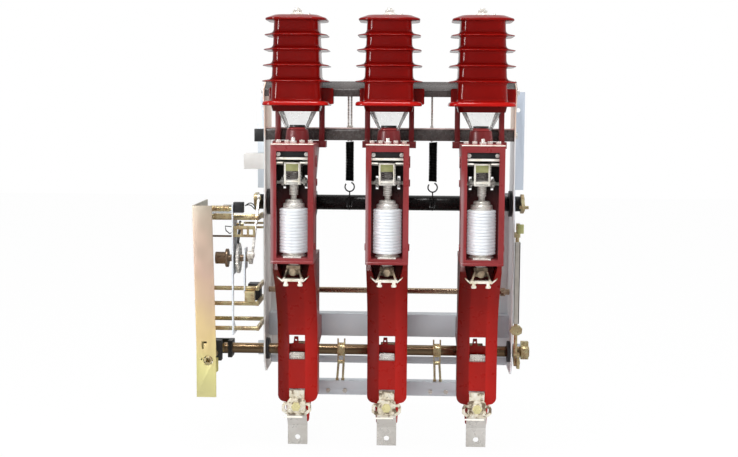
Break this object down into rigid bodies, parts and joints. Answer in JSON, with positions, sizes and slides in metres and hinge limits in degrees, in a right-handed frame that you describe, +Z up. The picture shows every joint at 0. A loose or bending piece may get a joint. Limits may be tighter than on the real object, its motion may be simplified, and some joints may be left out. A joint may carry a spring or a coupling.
{
  "type": "switch disconnector",
  "caption": "Indoor vacuum load-break switch disconnector with red epoxy phases, black main shaft, earthing switch and a side mechanism on a steel frame.",
  "frame": {"origin": "centre of the four rear mounting holes, in the rear mounting plane", "axes": "+X right along the row of phases, +Y into the wall, +Z up"},
  "size_m": [0.7815, 0.329, 1.017],
  "materials": {
    "red_epoxy": "gloss",
    "grey_paint": "satin",
    "dark_grey_paint": "satin",
    "black_paint": "gloss",
    "white_ceramic": "gloss",
    "nickel": "bright",
    "yellow_zinc": "satin",
    "gold_zinc": "satin",
    "brass": "satin",
    "clear_shield": "gloss",
    "black_plastic": "matte",
    "white_plastic": "matte"
  },
  "bodies": {
    "frame": {"arc_shields": "clear_shield", "aux_switch": "white_plastic", "balance_springs": "black_paint", "bottom_beam": "grey_paint", "bushing_left": "red_epoxy", "bushing_middle": "red_epoxy", "bushing_right": "red_epoxy", "cage_bars": "nickel", "cage_left": "red_epoxy", "cage_middle": "red_epoxy", "cage_right": "red_epoxy", "ceramic_ends": "nickel", "ceramics": "white_ceramic", "control_blocks": "black_plastic", "earth_contacts": "nickel", "frame_bolts": "nickel", "gear_brackets": "black_plastic", "guide_cups": "red_epoxy", "lower_beam": "grey_paint", "lower_contacts": "nickel", "lower_insulator_left": "red_epoxy", "lower_insulator_middle": "red_epoxy", "lower_insulator_right": "red_epoxy", "lower_terminals": "nickel", "mech_panel": "yellow_zinc", "mech_plates": "grey_paint", "mech_spacers": "gold_zinc", "mech_spring": "nickel", "middle_beam": "dark_grey_paint", "shaft_bearings": "black_plastic", "side_plate_left": "grey_paint", "side_plate_right": "grey_paint", "spring_hangers": "nickel", "spring_yokes": "gold_zinc", "tie_rod": "brass", "top_beam": "dark_grey_paint", "upper_contacts": "nickel"},
    "main_shaft": {"main_shaft": "black_paint", "lever_arms": "red_epoxy", "shaft_cranks": "gold_zinc"},
    "operating_hub": {"mech_hub": "gold_zinc", "hub_crank": "nickel"},
    "drive_link": {"drive_link": "nickel"},
    "spring_hooks": {"spring_hooks": "black_paint"},
    "earth_shaft": {"earth_shaft": "brass", "earth_blades": "brass", "earth_lever": "gold_zinc"},
    "interlock_rod": {"interlock_rod": "gold_zinc"},
    "socket_shaft": {"socket_shaft": "gold_zinc"},
    "latch": {"latch": "black_plastic"},
    "hanging_lever": {"hanging_lever": "yellow_zinc"},
    "contact_tube_left": {"contact_tube_left": "nickel"},
    "stem_left": {"stem_left": "nickel"},
    "rocker_left": {"rocker_left": "nickel"},
    "contact_tube_middle": {"contact_tube_middle": "nickel"},
    "stem_middle": {"stem_middle": "nickel"},
    "rocker_middle": {"rocker_middle": "nickel"},
    "contact_tube_right": {"contact_tube_right": "nickel"},
    "stem_right": {"stem_right": "nickel"},
    "rocker_right": {"rocker_right": "nickel"}
  },
  "joints": [
    {"name": "main_shaft_turn", "type": "hinge", "parent": "frame", "child": "main_shaft", "pos_m": [0, -0.083, 0.075], "axis": [-1, 0, 0], "range_deg": [0, 44]},
    {"name": "contact_tube_slide_left", "type": "slide", "parent": "frame", "child": "contact_tube_left", "axis": [0, 0, 1], "range_m": [0, 0.09464]},
    {"name": "stem_slide_left", "type": "slide", "parent": "frame", "child": "stem_left", "axis": [0, 0, 1], "range_m": [-0.0081, 0]},
    {"name": "rocker_turn_left", "type": "hinge", "parent": "frame", "child": "rocker_left", "pos_m": [-0.21, -0.252, 0.133], "axis": [1, 0, 0], "range_deg": [0, 13.09]},
    {"name": "contact_tube_slide_middle", "type": "slide", "parent": "frame", "child": "contact_tube_middle", "axis": [0, 0, 1], "range_m": [0, 0.09464]},
    {"name": "stem_slide_middle", "type": "slide", "parent": "frame", "child": "stem_middle", "axis": [0, 0, 1], "range_m": [-0.0081, 0]},
    {"name": "rocker_turn_middle", "type": "hinge", "parent": "frame", "child": "rocker_middle", "pos_m": [0, -0.252, 0.133], "axis": [1, 0, 0], "range_deg": [0, 13.09]},
    {"name": "contact_tube_slide_right", "type": "slide", "parent": "frame", "child": "contact_tube_right", "axis": [0, 0, 1], "range_m": [0, 0.09464]},
    {"name": "stem_slide_right", "type": "slide", "parent": "frame", "child": "stem_right", "axis": [0, 0, 1], "range_m": [-0.0081, 0]},
    {"name": "rocker_turn_right", "type": "hinge", "parent": "frame", "child": "rocker_right", "pos_m": [0.21, -0.252, 0.133], "axis": [1, 0, 0], "range_deg": [0, 13.09]},
    {"name": "operating_hub_turn", "type": "hinge", "parent": "frame", "child": "operating_hub", "pos_m": [-0.36, -0.2, -0.048], "axis": [-1, 0, 0], "range_deg": [0, 44.1]},
    {"name": "drive_link_turn", "type": "hinge", "parent": "main_shaft", "child": "drive_link", "pos_m": [-0.311, -0.1109, 0.08603], "axis": [-1, 0, 0], "range_deg": [-44.1, 0]},
    {"name": "spring_hook_slide", "type": "slide", "parent": "frame", "child": "spring_hooks", "axis": [0, 0, 1], "range_m": [0, 0.02108], "deforming": ["balance_springs"]},
    {"name": "earth_shaft_turn", "type": "hinge", "parent": "frame", "child": "earth_shaft", "pos_m": [0, -0.11, -0.278], "axis": [-1, 0, 0], "range_deg": [0, 90]},
    {"name": "interlock_rod_slide", "type": "slide", "parent": "frame", "child": "interlock_rod", "axis": [0, 0, 1], "range_m": [0, 0.04535]},
    {"name": "socket_shaft_turn", "type": "hinge", "parent": "frame", "child": "socket_shaft", "pos_m": [-0.409, -0.18, -0.278], "axis": [0, -1, 0], "range_deg": [0, 90.1]},
    {"name": "latch_turn", "type": "hinge", "parent": "frame", "child": "latch", "pos_m": [-0.346, -0.178, 0.028], "axis": [-1, 0, 0], "range_deg": [0, 15]},
    {"name": "hanging_lever_turn", "type": "hinge", "parent": "frame", "child": "hanging_lever", "pos_m": [-0.403, -0.1798, -0.291], "axis": [0, 1, 0], "range_deg": [-15, 15]}
  ],
  "couplings": [
    {"joint": "contact_tube_slide_left", "follows": "main_shaft_turn", "m_per_rad": 0.12311},
    {"joint": "stem_slide_left", "follows": "main_shaft_turn", "m_per_rad": -0.010417},
    {"joint": "rocker_turn_left", "follows": "main_shaft_turn", "ratio": 0.29635},
    {"joint": "contact_tube_slide_middle", "follows": "main_shaft_turn", "m_per_rad": 0.12311},
    {"joint": "stem_slide_middle", "follows": "main_shaft_turn", "m_per_rad": -0.010417},
    {"joint": "rocker_turn_middle", "follows": "main_shaft_turn", "ratio": 0.29635},
    {"joint": "contact_tube_slide_right", "follows": "main_shaft_turn", "m_per_rad": 0.12311},
    {"joint": "stem_slide_right", "follows": "main_shaft_turn", "m_per_rad": -0.010417},
    {"joint": "rocker_turn_right", "follows": "main_shaft_turn", "ratio": 0.29635},
    {"joint": "operating_hub_turn", "follows": "main_shaft_turn", "ratio": 1},
    {"joint": "drive_link_turn", "follows": "main_shaft_turn", "ratio": -1},
    {"joint": "spring_hook_slide", "follows": "main_shaft_turn", "m_per_rad": 0.027317},
    {"joint": "interlock_rod_slide", "follows": "earth_shaft_turn", "m_per_rad": 0.02881},
    {"joint": "socket_shaft_turn", "follows": "earth_shaft_turn", "ratio": 1}
  ]
}
